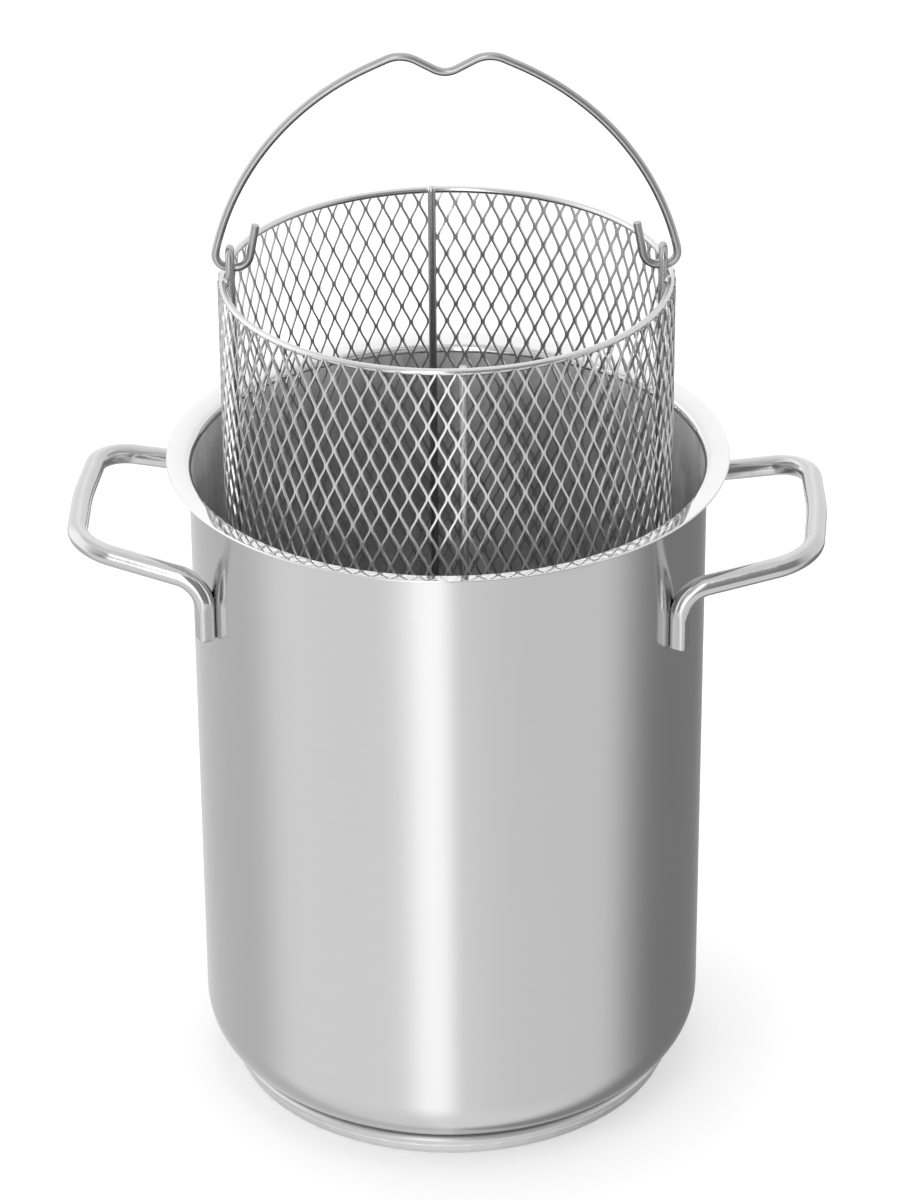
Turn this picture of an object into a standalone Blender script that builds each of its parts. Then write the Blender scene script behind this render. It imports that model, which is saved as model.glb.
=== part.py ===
"""Asparagus pot: a tall steel pot with an expanded-metal basket lifted part of the way out.

Metres, +Z up. The origin is the centre of the underside of the base. The two side
handles lie along X. Each group of named values drives the pieces below it.
"""

import math

import bmesh
import bpy
from mathutils import Vector

# Gap left between pieces that touch, and the distance within which points are one
SEAT = 0.0003
MERGE = 0.00001

# Fineness of round forms: a bend's chords stay this close to its true arc
BEND_TOLERANCE = 0.0001
POT_SEGMENTS = 48
RING_SIDES = 8
ROD_RESOLUTION = 3
WIRE_RESOLUTION = 2
SHARP_ANGLE = math.radians(40)

# Pot shell
WALL_RADIUS = 0.080
WALL = 0.0008
CORNER_RADIUS = 0.018
RIM_HEIGHT = 0.2143
RIM_WIDTH = 0.0068
RIM_BEND = 0.002
RIM_DROOP = 0.0006

# Sandwich base, set back under the wall
BASE_HEIGHT = 0.005
BASE_SETBACK = 0.007
BASE_CAP_WALL = 0.0006
BASE_ROUND = 0.0028
BASE_LIP = 0.0021

# Side handles, bent from round rod and set down from the rim
HANDLE_ROD = 0.0032
HANDLE_FLAT = 0.0008
HANDLE_LEG_SPREAD = 0.0398
HANDLE_LEG_LENGTH = 0.0195
HANDLE_LEG_BEND = 0.010
HANDLE_DROP = 0.0275
HANDLE_REACH = 0.0321
HANDLE_RISE = 0.0086
HANDLE_GRIP_HALF = 0.0331
HANDLE_CORNER = 0.0143
HANDLE_BOW = 0.002

# Basket: the room round it and over it when it stands in the pot, its lift and its turn
BASKET_GAP = 0.0095
BASKET_HEADROOM = 0.0183
BASKET_RAISED = 0.0771
BASKET_TURN = math.radians(3.15)

# Expanded metal, rings and frame wires of the basket
STRAND = 0.0014
LATTICE_COLUMNS = 24
LATTICE_ROWS = 6
RING_WIRE = 0.0011
RING_SETBACK = 0.0016
FRAME_WIRE = 0.00125
FRAME_BEND = 0.006
CROSS_FRAME_TURN = math.radians(4.0)

# Eyes, and the play of the bail's wire in them
EYE_PLAY = 0.00065
EYE_SLACK = 0.0036
EYE_LEG_END = 0.0045

# Bail: its hooks clear the ring, and its heights are taken from the hooks' axis
BAIL_WIRE = 0.00125
BAIL_CLEARANCE = 0.0012
HOOK_PLAY = 0.00235
HOOK_INSET = 0.0006
HOOK_STUB = 0.01385
KNEE_RISE = 0.00535
KNEE_BEND = 0.010
SHOULDER_INSET = 0.0111
SHOULDER_RISE = 0.04735
SHOULDER_BEND = 0.086
PEAK_HALF = 0.013
PEAK_RISE = 0.06855
PEAK_BEND = 0.010
DIP_RISE = 0.06155
DIP_BEND = 0.007

# Places and sizes that follow from those above. The basket stands in the pot where the
# edge of its floor meets the rounded corner, or on the flat floor if it is narrower.
CORNER_CENTRE = (WALL_RADIUS - CORNER_RADIUS, BASE_HEIGHT + CORNER_RADIUS)
BASE_RADIUS = WALL_RADIUS - BASE_SETBACK
BASKET_RADIUS = WALL_RADIUS - WALL - BASKET_GAP
INTO_CORNER = max(0.0, BASKET_RADIUS - CORNER_CENTRE[0])
STAND_REACH = math.sqrt((CORNER_RADIUS - WALL - SEAT) ** 2 - INTO_CORNER ** 2)
BASKET_STAND = CORNER_CENTRE[1] - STAND_REACH
BASKET_HEIGHT = RIM_HEIGHT - BASKET_HEADROOM - BASKET_STAND
BASKET_REST = BASKET_STAND + BASKET_RAISED
SHEET_RADIUS = BASKET_RADIUS - STRAND / 2
RING_RADIUS = BASKET_RADIUS - RING_SETBACK
TOP_RING_HEIGHT = BASKET_HEIGHT - RING_WIRE
BOTTOM_RING_HEIGHT = STRAND + SEAT + RING_WIRE
FRAME_RADIUS = RING_RADIUS - RING_WIRE - SEAT - FRAME_WIRE
CROSS_RUN_HEIGHT = STRAND + SEAT + FRAME_WIRE
EYE_RUN_HEIGHT = CROSS_RUN_HEIGHT + 2 * FRAME_WIRE + SEAT
PIVOT_HEIGHT = BASKET_HEIGHT + BAIL_CLEARANCE + BAIL_WIRE
EYE_SIDE = BAIL_WIRE + EYE_PLAY + FRAME_WIRE
EYE_OUT = math.sqrt(FRAME_RADIUS ** 2 - EYE_SIDE ** 2)
EYE_TOP = PIVOT_HEIGHT + BAIL_WIRE + EYE_SLACK + FRAME_WIRE
HOOK_RADIUS = BAIL_WIRE + FRAME_WIRE + HOOK_PLAY


def clear_scene():
    for item in list(bpy.data.objects):
        bpy.data.objects.remove(item, do_unlink=True)


def new_collection(name):
    collection = bpy.data.collections.new(name)
    bpy.context.scene.collection.children.link(collection)
    return collection


def steel(name, colour, roughness, metallic=1.0):
    material = bpy.data.materials.new(name)
    material.use_nodes = True
    shader = material.node_tree.nodes["Principled BSDF"]
    shader.inputs["Base Color"].default_value = (*colour, 1.0)
    shader.inputs["Roughness"].default_value = roughness
    shader.inputs["Metallic"].default_value = metallic
    return material


def add_object(collection, name, data, material=None, parent=None):
    item = bpy.data.objects.new(name, data)
    collection.objects.link(item)
    item.parent = parent
    if material:
        data.materials.append(material)
    return item


def add_empty(collection, name, parent=None, height=0.0, turn=0.0):
    empty = add_object(collection, name, None, parent=parent)
    empty.location.z = height
    empty.rotation_euler.z = turn
    return empty


def arc(centre, radius, start, end, steps):
    """Points of an arc in a plane, from one angle to the other in degrees."""
    points = []
    for step in range(steps + 1):
        angle = math.radians(start + (end - start) * step / steps)
        points.append((centre[0] + radius * math.cos(angle), centre[1] + radius * math.sin(angle)))
    return points


def rounded_path(corners, radii):
    """A wire's route through its corners, each one rounded with an arc.

    Where two bends share a run that is too short for both, they share it out.
    """
    corners = [Vector(corner) for corner in corners]
    runs = [(after - before).length for before, after in zip(corners, corners[1:])]
    halves = []
    for before, corner, after in zip(corners, corners[1:], corners[2:]):
        halves.append((before - corner).angle(after - corner) / 2)
    reach = [0.0] + [radius / math.tan(half) for radius, half in zip(radii, halves)] + [0.0]
    share = [min(1.0, run / (reach[i] + reach[i + 1])) for i, run in enumerate(runs)]
    path = [corners[0]]
    for index in range(1, len(corners) - 1):
        corner = corners[index]
        half = halves[index - 1]
        into = (corners[index - 1] - corner).normalized()
        out = (corners[index + 1] - corner).normalized()
        cut = reach[index] * min(share[index - 1], share[index])
        radius = cut * math.tan(half)
        centre = corner + (into + out).normalized() * radius / math.sin(half)
        first = (corner + into * cut - centre).normalized()
        last = (corner + out * cut - centre).normalized()
        chord = 2 * math.acos(1 - BEND_TOLERANCE / max(radius, BEND_TOLERANCE))
        steps = max(2, math.ceil((math.pi - 2 * half) / chord))
        for step in range(steps + 1):
            path.append(centre + radius * first.slerp(last, step / steps))
    path.append(corners[-1])
    kept = [point for point, following in zip(path, path[1:]) if (following - point).length > MERGE]
    return kept + path[-1:]


def wire(collection, name, path, radius, resolution, material=None, parent=None):
    """A round wire along the path, closed at both ends."""
    curve = bpy.data.curves.new(name, "CURVE")
    curve.dimensions = "3D"
    curve.bevel_depth = radius
    curve.bevel_resolution = resolution
    curve.use_fill_caps = True
    spline = curve.splines.new("POLY")
    spline.points.add(len(path) - 1)
    for point, place in zip(spline.points, path):
        point.co = (*place, 1.0)
    return add_object(collection, name, curve, material, parent)


def as_mesh(item):
    """The same wire as a welded mesh, ready to be cut."""
    bpy.context.view_layer.update()
    evaluated = item.evaluated_get(bpy.context.evaluated_depsgraph_get())
    mesh = bpy.data.meshes.new_from_object(evaluated)
    welded = bmesh.new()
    welded.from_mesh(mesh)
    bmesh.ops.remove_doubles(welded, verts=welded.verts, dist=MERGE)
    welded.to_mesh(mesh)
    welded.free()
    name = item.name
    place = item.matrix_world.copy()
    collection = item.users_collection[0]
    bpy.data.objects.remove(item, do_unlink=True)
    solid = bpy.data.objects.new(name, mesh)
    collection.objects.link(solid)
    solid.matrix_world = place
    mesh.shade_smooth()
    mesh.set_sharp_from_angle(angle=SHARP_ANGLE)
    return solid


def turned_shell(collection, name, profile, wall, material):
    """A sheet turned about Z from the profile of its outer skin, given its wall inwards."""
    mesh = bpy.data.meshes.new(name)
    points = [(x, 0.0, z) for x, z in profile]
    mesh.from_pydata(points, [(i, i + 1) for i in range(len(points) - 1)], [])
    shell = add_object(collection, name, mesh, material)
    screw = shell.modifiers.new("Turn", "SCREW")
    screw.axis = "Z"
    screw.steps = POT_SEGMENTS
    screw.render_steps = POT_SEGMENTS
    screw.use_merge_vertices = True
    screw.merge_threshold = MERGE
    screw.use_smooth_shade = True
    solidify = shell.modifiers.new("Wall", "SOLIDIFY")
    solidify.thickness = wall
    solidify.offset = -1.0
    solidify.use_even_offset = True
    return shell


def pot_body(collection, material):
    """The drawn pot: flared pouring rim, straight wall, rounded corner and flat bottom."""
    under_rim = RIM_HEIGHT - WALL
    profile = [(WALL_RADIUS + RIM_WIDTH, under_rim - RIM_DROOP)]
    profile += arc((WALL_RADIUS + RIM_BEND, under_rim - RIM_BEND), RIM_BEND, 90, 180, 4)
    profile += arc(CORNER_CENTRE, CORNER_RADIUS, 0, -90, 6)
    profile.append((0.0, BASE_HEIGHT))
    return turned_shell(collection, "pot_body", profile, WALL, material)


def base_cap(collection, material):
    """The steel capsule pressed round the core, its lip turned in against the pot's corner."""
    lip_x = BASE_RADIUS - BASE_LIP
    corner_x, corner_z = CORNER_CENTRE
    lip_top = corner_z - math.sqrt((CORNER_RADIUS + SEAT) ** 2 - (lip_x - corner_x) ** 2)
    profile = arc((lip_x, lip_top - BASE_LIP), BASE_LIP, 90, 0, 3)
    profile += arc((BASE_RADIUS - BASE_ROUND, BASE_ROUND), BASE_ROUND, 0, -90, 3)
    profile.append((0.0, 0.0))
    return turned_shell(collection, "base_cap", profile, BASE_CAP_WALL, material)


def base_core(collection, material):
    """The aluminium disc that spreads the heat, between the capsule and the pot."""
    bottom = BASE_CAP_WALL + SEAT
    top = BASE_HEIGHT - SEAT
    middle = (top + bottom) / 2
    radius = BASE_RADIUS - BASE_CAP_WALL - SEAT
    mesh = bpy.data.meshes.new("base_core")
    disc = bmesh.new()
    bmesh.ops.create_cone(
        disc, cap_ends=True, segments=POT_SEGMENTS, radius1=radius, radius2=radius, depth=top - bottom
    )
    bmesh.ops.translate(disc, verts=disc.verts, vec=(0, 0, middle))
    lower_edge = [edge for edge in disc.edges if all(vert.co.z < middle for vert in edge.verts)]
    bmesh.ops.bevel(
        disc, geom=lower_edge, offset=BASE_ROUND, segments=2, profile=0.5, affect="EDGES", clamp_overlap=True
    )
    disc.to_mesh(mesh)
    disc.free()
    return add_object(collection, "base_core", mesh, material)


def wall_cutter(cutters):
    """A cylinder just outside the pot's wall, which flattens what is welded to it."""
    mesh = bpy.data.meshes.new("wall_cutter")
    cylinder = bmesh.new()
    radius = WALL_RADIUS + SEAT
    bmesh.ops.create_cone(
        cylinder, cap_ends=True, segments=POT_SEGMENTS, radius1=radius, radius2=radius, depth=2 * RIM_HEIGHT
    )
    cylinder.to_mesh(mesh)
    cylinder.free()
    cutter = add_object(cutters, "wall_cutter", mesh)
    cutter.hide_render = True
    cutter.display_type = "WIRE"
    return cutter


def side_handle(collection, name, turn, cutter, material):
    """A rod bent to a rounded frame, tilted up from two legs that lie on the wall."""
    leg_radius = WALL_RADIUS + SEAT + HANDLE_ROD - HANDLE_FLAT
    leg_x = math.sqrt(leg_radius ** 2 - HANDLE_LEG_SPREAD ** 2)
    leg_top = RIM_HEIGHT - HANDLE_DROP
    grip_x = WALL_RADIUS + HANDLE_REACH
    grip_z = leg_top + HANDLE_RISE
    front = [
        (leg_x, -HANDLE_LEG_SPREAD, leg_top - HANDLE_LEG_LENGTH),
        (leg_x, -HANDLE_LEG_SPREAD, leg_top),
        (grip_x, -HANDLE_GRIP_HALF, grip_z),
        (grip_x + HANDLE_BOW, 0.0, grip_z),
    ]
    half = rounded_path(front, [HANDLE_LEG_BEND, HANDLE_CORNER])
    path = half + [Vector((p.x, -p.y, p.z)) for p in reversed(half[:-1])]
    handle = as_mesh(wire(collection, name, path, HANDLE_ROD, ROD_RESOLUTION))
    handle.data.materials.append(material)
    handle.rotation_euler.z = turn
    flatten = handle.modifiers.new("Flat on the wall", "BOOLEAN")
    flatten.operation = "DIFFERENCE"
    flatten.solver = "EXACT"
    flatten.object = cutter
    return handle


def basket_ring(collection, name, height, parent, material):
    """A ring of round wire, with a joint of its facets under each strand of the sheet."""
    bpy.ops.mesh.primitive_torus_add(
        major_segments=2 * LATTICE_COLUMNS,
        minor_segments=RING_SIDES,
        major_radius=RING_RADIUS,
        minor_radius=RING_WIRE,
    )
    ring = bpy.context.object
    ring.name = name
    ring.data.name = name
    for home in list(ring.users_collection):
        home.objects.unlink(ring)
    collection.objects.link(ring)
    ring.parent = parent
    ring.location.z = height
    ring.data.shade_smooth()
    ring.data.materials.append(material)
    return ring


def diamonds(lattice):
    """Turns a grid of squares into diamonds: each square is poked and its inner sides go."""
    inner_sides = [edge for edge in lattice.edges if not edge.is_boundary]
    centres = bmesh.ops.poke(lattice, faces=lattice.faces)["verts"]
    bmesh.ops.dissolve_edges(lattice, edges=inner_sides, use_verts=False)
    return centres


def expanded_metal(collection, name, lattice, parent, material):
    """Gives each side of each diamond a strand, and closes the sheet's edges."""
    bmesh.ops.recalc_face_normals(lattice, faces=lattice.faces)
    mesh = bpy.data.meshes.new(name)
    lattice.to_mesh(mesh)
    lattice.free()
    sheet = add_object(collection, name, mesh, material, parent)
    strands = sheet.modifiers.new("Strands", "WIREFRAME")
    strands.thickness = STRAND
    strands.use_boundary = True
    strands.use_even_offset = True
    strands.use_replace = True
    return sheet


def basket_sleeve(collection, parent, material):
    """The sheet rolled into the basket's side, between the two rings."""
    bottom = BOTTOM_RING_HEIGHT + RING_WIRE + SEAT + STRAND / 2
    top = TOP_RING_HEIGHT - RING_WIRE - SEAT - STRAND / 2
    lattice = bmesh.new()
    bmesh.ops.create_grid(lattice, x_segments=LATTICE_COLUMNS, y_segments=LATTICE_ROWS, size=0.5)
    for vert in lattice.verts:
        angle = 2 * math.pi * vert.co.x
        height = bottom + (top - bottom) * (vert.co.y + 0.5)
        vert.co = (SHEET_RADIUS * math.cos(angle), SHEET_RADIUS * math.sin(angle), height)
    bmesh.ops.remove_doubles(lattice, verts=lattice.verts, dist=MERGE)
    for centre in diamonds(lattice):
        centre.co.xy = centre.co.xy.normalized() * SHEET_RADIUS
    return expanded_metal(collection, "basket_sleeve", lattice, parent, material)


def basket_floor(collection, parent, material):
    """A disc of the same sheet, cut round, under the bottom ring."""
    cell_width = 2 * math.pi * SHEET_RADIUS / LATTICE_COLUMNS
    cell_height = (TOP_RING_HEIGHT - BOTTOM_RING_HEIGHT) / LATTICE_ROWS
    columns = 2 * math.ceil(BASKET_RADIUS / cell_width)
    rows = 2 * math.ceil(BASKET_RADIUS / cell_height)
    lattice = bmesh.new()
    bmesh.ops.create_grid(lattice, x_segments=columns, y_segments=rows, size=0.5)
    for vert in lattice.verts:
        vert.co = (vert.co.x * columns * cell_width, vert.co.y * rows * cell_height, STRAND / 2)
    diamonds(lattice)
    for side in range(LATTICE_COLUMNS):
        angle = 2 * math.pi * (side + 0.5) / LATTICE_COLUMNS
        outward = Vector((math.cos(angle), math.sin(angle), 0))
        bmesh.ops.bisect_plane(
            lattice,
            geom=lattice.verts[:] + lattice.edges[:] + lattice.faces[:],
            dist=10 * MERGE,
            plane_co=outward * SHEET_RADIUS * math.cos(math.pi / LATTICE_COLUMNS),
            plane_no=outward,
            clear_outer=True,
        )
    return expanded_metal(collection, "basket_floor", lattice, parent, material)


def cross_frame(collection, parent, material):
    """The wire that runs down the back, over the floor and up the front."""
    top = BASKET_HEIGHT - RING_WIRE / 2
    corners = [
        (0, -FRAME_RADIUS, top),
        (0, -FRAME_RADIUS, CROSS_RUN_HEIGHT),
        (0, FRAME_RADIUS, CROSS_RUN_HEIGHT),
        (0, FRAME_RADIUS, top),
    ]
    path = rounded_path(corners, [FRAME_BEND, FRAME_BEND])
    frame = wire(collection, "cross_frame", path, FRAME_WIRE, WIRE_RESOLUTION, material, parent)
    frame.rotation_euler.z = CROSS_FRAME_TURN
    return frame


def eye_frame(collection, parent, material):
    """The wire that carries the bail: an eye at each end, with a run over the floor between."""
    leg_end = BASKET_HEIGHT - EYE_LEG_END
    arch_foot = EYE_TOP - EYE_SIDE
    eye = [Vector((-EYE_OUT, -EYE_SIDE, leg_end))]
    for y, z in arc((0, arch_foot), EYE_SIDE, 180, 0, 8):
        eye.append(Vector((-EYE_OUT, y, z)))
    corners = [
        eye[-1],
        (-EYE_OUT, EYE_SIDE, EYE_RUN_HEIGHT),
        (EYE_OUT, EYE_SIDE, EYE_RUN_HEIGHT),
        (EYE_OUT, EYE_SIDE, arch_foot),
    ]
    across = rounded_path(corners, [FRAME_BEND, FRAME_BEND])
    far_eye = [Vector((-p.x, p.y, p.z)) for p in reversed(eye)]
    path = eye[:-1] + across + far_eye[1:]
    return wire(collection, "eye_frame", path, FRAME_WIRE, WIRE_RESOLUTION, material, parent)


def bail(collection, parent, material):
    """The lifting handle: two hooks, two long shoulders and a finger notch. Its axis is X."""
    outer = EYE_OUT - HOOK_INSET + HOOK_RADIUS
    inner = EYE_OUT - HOOK_INSET - HOOK_RADIUS
    left = [
        (-inner, 0, HOOK_STUB),
        (-inner, 0, 0),
        (-outer, 0, 0),
        (-outer, 0, KNEE_RISE),
        (-outer + SHOULDER_INSET, 0, SHOULDER_RISE),
        (-PEAK_HALF, 0, PEAK_RISE),
        (0, 0, DIP_RISE),
    ]
    right = [(-x, y, z) for x, y, z in reversed(left[:-1])]
    side_bends = [HOOK_RADIUS, HOOK_RADIUS, KNEE_BEND, SHOULDER_BEND, PEAK_BEND]
    path = rounded_path(left + right, side_bends + [DIP_BEND] + side_bends[::-1])
    return wire(collection, "bail", path, BAIL_WIRE, WIRE_RESOLUTION, material, parent)


def main():
    clear_scene()
    pot = new_collection("asparagus_pot")
    cutters = new_collection("cutters")

    satin = steel("satin steel", (0.62, 0.62, 0.61), 0.32)
    polished = steel("polished steel", (0.70, 0.70, 0.69), 0.10)
    capsule = steel("capsule steel", (0.66, 0.66, 0.65), 0.18)
    aluminium = steel("aluminium", (0.74, 0.74, 0.75), 0.45)
    ring_steel = steel("ring steel", (0.60, 0.60, 0.59), 0.20)
    frame_steel = steel("frame steel", (0.52, 0.52, 0.51), 0.28)
    mesh_steel = steel("mesh steel", (0.56, 0.56, 0.55), 0.30)
    bail_steel = steel("bail steel", (0.58, 0.58, 0.57), 0.24)

    pot_body(pot, satin)
    base_core(pot, aluminium)
    base_cap(pot, capsule)
    cutter = wall_cutter(cutters)
    side_handle(pot, "right_handle", 0.0, cutter, polished)
    side_handle(pot, "left_handle", math.pi, cutter, polished)

    basket = add_empty(pot, "basket_place", height=BASKET_REST, turn=BASKET_TURN)
    basket_ring(pot, "basket_top_ring", TOP_RING_HEIGHT, basket, ring_steel)
    basket_ring(pot, "basket_bottom_ring", BOTTOM_RING_HEIGHT, basket, ring_steel)
    basket_sleeve(pot, basket, mesh_steel)
    basket_floor(pot, basket, mesh_steel)
    cross_frame(pot, basket, frame_steel)
    eye_frame(pot, basket, frame_steel)

    pivot = add_empty(pot, "bail_axis", parent=basket, height=PIVOT_HEIGHT)
    bail(pot, pivot, bail_steel)


main()
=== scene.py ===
import math

import bmesh
import bpy
from bpy.props import FloatProperty, FloatVectorProperty, IntProperty, PointerProperty
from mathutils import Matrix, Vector


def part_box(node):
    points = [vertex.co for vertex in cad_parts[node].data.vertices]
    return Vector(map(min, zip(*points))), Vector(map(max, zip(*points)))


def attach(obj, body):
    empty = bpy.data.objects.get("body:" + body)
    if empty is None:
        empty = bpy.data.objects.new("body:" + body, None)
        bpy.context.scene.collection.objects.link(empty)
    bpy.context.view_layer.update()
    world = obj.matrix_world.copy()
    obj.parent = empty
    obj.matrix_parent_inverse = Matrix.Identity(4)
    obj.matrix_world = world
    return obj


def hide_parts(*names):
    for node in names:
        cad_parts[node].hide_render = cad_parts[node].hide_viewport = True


bl_info = {
    "name": "Asparagus pot",
    "version": (1, 0, 0),
    "blender": (4, 5, 0),
    "location": "3D View > Sidebar > Asparagus pot",
    "description": "Models the pot, its lifting basket and their steel finishes over the fixed frame",
    "category": "Object",
}

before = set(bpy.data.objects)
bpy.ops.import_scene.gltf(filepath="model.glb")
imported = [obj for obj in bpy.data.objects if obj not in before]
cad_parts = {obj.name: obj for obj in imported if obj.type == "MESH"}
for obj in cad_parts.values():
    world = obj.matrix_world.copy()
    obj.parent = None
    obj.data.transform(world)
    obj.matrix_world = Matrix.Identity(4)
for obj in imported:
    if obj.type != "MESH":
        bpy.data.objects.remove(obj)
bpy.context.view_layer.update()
POT_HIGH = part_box("pot_body")[1]
RING_LOW, RING_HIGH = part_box("basket_top_ring")
BOTTOM_RING_LOW, BOTTOM_RING_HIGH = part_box("basket_bottom_ring")
FLOOR_LOW, FLOOR_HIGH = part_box("basket_floor")

# Lengths are in metres
MM = 0.001
SAME_POINT = 0.00001
ON_PLANE = 1e-7
RING_HEIGHT = (RING_LOW.z + RING_HIGH.z) / 2
BOTTOM_RING_HEIGHT = (BOTTOM_RING_LOW.z + BOTTOM_RING_HIGH.z) / 2
FLOOR_LEVEL = (FLOOR_LOW.z + FLOOR_HIGH.z) / 2

# Circles that divide a flat bottom
BOTTOM_CIRCLES = (20 * MM, 50 * MM)

# Half the width of the eyes that carry the bail
EYE_HALF = 3.15 * MM

# Edges turn sharp beyond this angle
SHARP = math.radians(38)

# The basket stands turned in the pot, and its cross wire is turned further
BASKET_TURN = math.radians(3.15)
CROSS_TURN = math.radians(4)

# The colour sockets of a Mix node, which come after those for numbers and vectors
FIRST_COLOUR, SECOND_COLOUR, MIXED_COLOUR = 6, 7, 2


def grey(level):
    return (level, level, level)


# Sizes and colours that a user may change


class PotSizes(bpy.types.PropertyGroup):
    """Sizes of the pot and its two handles"""

    wall_radius: FloatProperty(
        name="Wall radius", description="Outside radius of the straight wall", default=80 * MM, unit="LENGTH"
    )
    wall: FloatProperty(
        name="Wall", description="Thickness of the pot's sheet", default=0.8 * MM, unit="LENGTH"
    )
    corner: FloatProperty(
        name="Corner", description="Outside radius between wall and bottom", default=18 * MM, unit="LENGTH"
    )
    rim_radius: FloatProperty(
        name="Rim radius", description="Reach of the pouring rim", default=POT_HIGH.x, unit="LENGTH"
    )
    rim_height: FloatProperty(
        name="Rim height", description="Top of the pouring rim", default=POT_HIGH.z, unit="LENGTH"
    )
    rim_bend: FloatProperty(
        name="Rim bend", description="Radius where the wall turns out", default=2 * MM, unit="LENGTH"
    )
    rim_slope: FloatProperty(
        name="Rim slope",
        description="Rise of the rim towards its edge",
        default=math.radians(11.5),
        subtype="ANGLE",
    )
    rim_drop: FloatProperty(
        name="Rim drop",
        description="The rim's edge below the pot's full height",
        default=0.6 * MM,
        unit="LENGTH",
    )
    base_height: FloatProperty(
        name="Base height", description="Underside of the pot above the floor", default=5 * MM, unit="LENGTH"
    )
    base_radius: FloatProperty(
        name="Base radius", description="Reach of the sandwich base", default=73 * MM, unit="LENGTH"
    )
    handle_rod: FloatProperty(
        name="Handle rod", description="Radius of the handles' rod", default=3.2 * MM, unit="LENGTH"
    )
    segments: IntProperty(name="Segments", description="Sides of the turned pieces", default=192, min=48)


class BasketSizes(bpy.types.PropertyGroup):
    """Sizes of the basket's sheet, rings and wires"""

    columns: IntProperty(name="Columns", description="Diamonds round the basket", default=75, min=12)
    rows: IntProperty(
        name="Rows", description="Diamonds up the basket before it is trimmed", default=16, min=2
    )
    cell_height: FloatProperty(
        name="Diamond height",
        description="From one bond to the next one above",
        default=11.72 * MM,
        unit="LENGTH",
    )
    first_bond: FloatProperty(
        name="First bond",
        description="Height of the front bond under the top ring",
        default=266.96 * MM,
        unit="LENGTH",
    )
    sheet_radius: FloatProperty(
        name="Sheet radius", description="Middle of the rolled sheet", default=69.0 * MM, unit="LENGTH"
    )
    strand_width: FloatProperty(
        name="Strand width", description="Width of one strand", default=0.64 * MM, unit="LENGTH"
    )
    strand_depth: FloatProperty(
        name="Strand depth",
        description="Thickness of the sheet before it was stretched",
        default=0.52 * MM,
        unit="LENGTH",
    )
    strand_tilt: FloatProperty(
        name="Strand tilt",
        description="Turn of the strands from stretching",
        default=math.radians(5),
        subtype="ANGLE",
    )
    strand_shear: FloatProperty(
        name="Strand shear",
        description="Lean of the strands' cut sides",
        default=math.radians(17),
        subtype="ANGLE",
    )
    bond_half: FloatProperty(
        name="Bond half", description="Half the height of a bond", default=0.6 * MM, unit="LENGTH"
    )
    ring_wire: FloatProperty(
        name="Ring wire", description="Radius of the rings' wire", default=1.1 * MM, unit="LENGTH"
    )
    ring_inset: FloatProperty(
        name="Ring inset",
        description="The rings' middle inside the sheet's",
        default=1.3 * MM,
        unit="LENGTH",
    )
    frame_wire: FloatProperty(
        name="Frame wire", description="Radius of the frames' wire", default=1.25 * MM, unit="LENGTH"
    )
    bail_wire: FloatProperty(
        name="Bail wire", description="Radius of the bail's wire", default=1.25 * MM, unit="LENGTH"
    )


class SteelColours(bpy.types.PropertyGroup):
    """Colours of the steel finishes and the floor of the studio"""

    satin: FloatVectorProperty(
        name="Satin", description="Brushed wall", default=grey(0.60), subtype="COLOR", min=0, max=1
    )
    inside: FloatVectorProperty(
        name="Inside", description="Inside of the pot", default=grey(0.62), subtype="COLOR", min=0, max=1
    )
    polished: FloatVectorProperty(
        name="Polished", description="Rim and handles", default=grey(0.80), subtype="COLOR", min=0, max=1
    )
    wire: FloatVectorProperty(
        name="Wire", description="Rings, frames and bail", default=grey(0.60), subtype="COLOR", min=0, max=1
    )
    mesh: FloatVectorProperty(
        name="Mesh", description="Expanded sheet", default=grey(0.62), subtype="COLOR", min=0, max=1
    )
    floor: FloatVectorProperty(
        name="Floor", description="Studio floor", default=grey(0.96), subtype="COLOR", min=0, max=1
    )


class CameraPlace(bpy.types.PropertyGroup):
    """Where the photographer stood"""

    azimuth: FloatProperty(
        name="Azimuth",
        description="Turn to the right round the pot",
        default=math.radians(3.15),
        subtype="ANGLE",
    )
    elevation: FloatProperty(
        name="Elevation",
        description="Height above the horizon",
        default=math.radians(28.12),
        subtype="ANGLE",
    )
    roll: FloatProperty(
        name="Roll", description="Lean of the camera", default=math.radians(-0.42), subtype="ANGLE"
    )
    distance: FloatProperty(
        name="Distance",
        description="From the camera to the point it looks at",
        default=1.407,
        unit="LENGTH",
    )
    target_height: FloatProperty(
        name="Target height",
        description="Height of the point it looks at",
        default=161.2 * MM,
        unit="LENGTH",
    )
    lens: FloatProperty(name="Lens", description="Focal length", default=134.46, unit="CAMERA")


# Shader nodes


class Number:
    """A number in a node tree. Arithmetic on it adds the Math nodes."""

    def __init__(self, finish, socket):
        self.finish = finish
        self.socket = socket

    def __add__(self, other):
        return self.finish.maths("ADD", self, other)

    def __radd__(self, other):
        return self.finish.maths("ADD", other, self)

    def __sub__(self, other):
        return self.finish.maths("SUBTRACT", self, other)

    def __rsub__(self, other):
        return self.finish.maths("SUBTRACT", other, self)

    def __mul__(self, other):
        return self.finish.maths("MULTIPLY", self, other)

    def __rmul__(self, other):
        return self.finish.maths("MULTIPLY", other, self)

    def __truediv__(self, other):
        return self.finish.maths("DIVIDE", self, other)

    def __pow__(self, other):
        return self.finish.maths("POWER", self, other)


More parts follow.
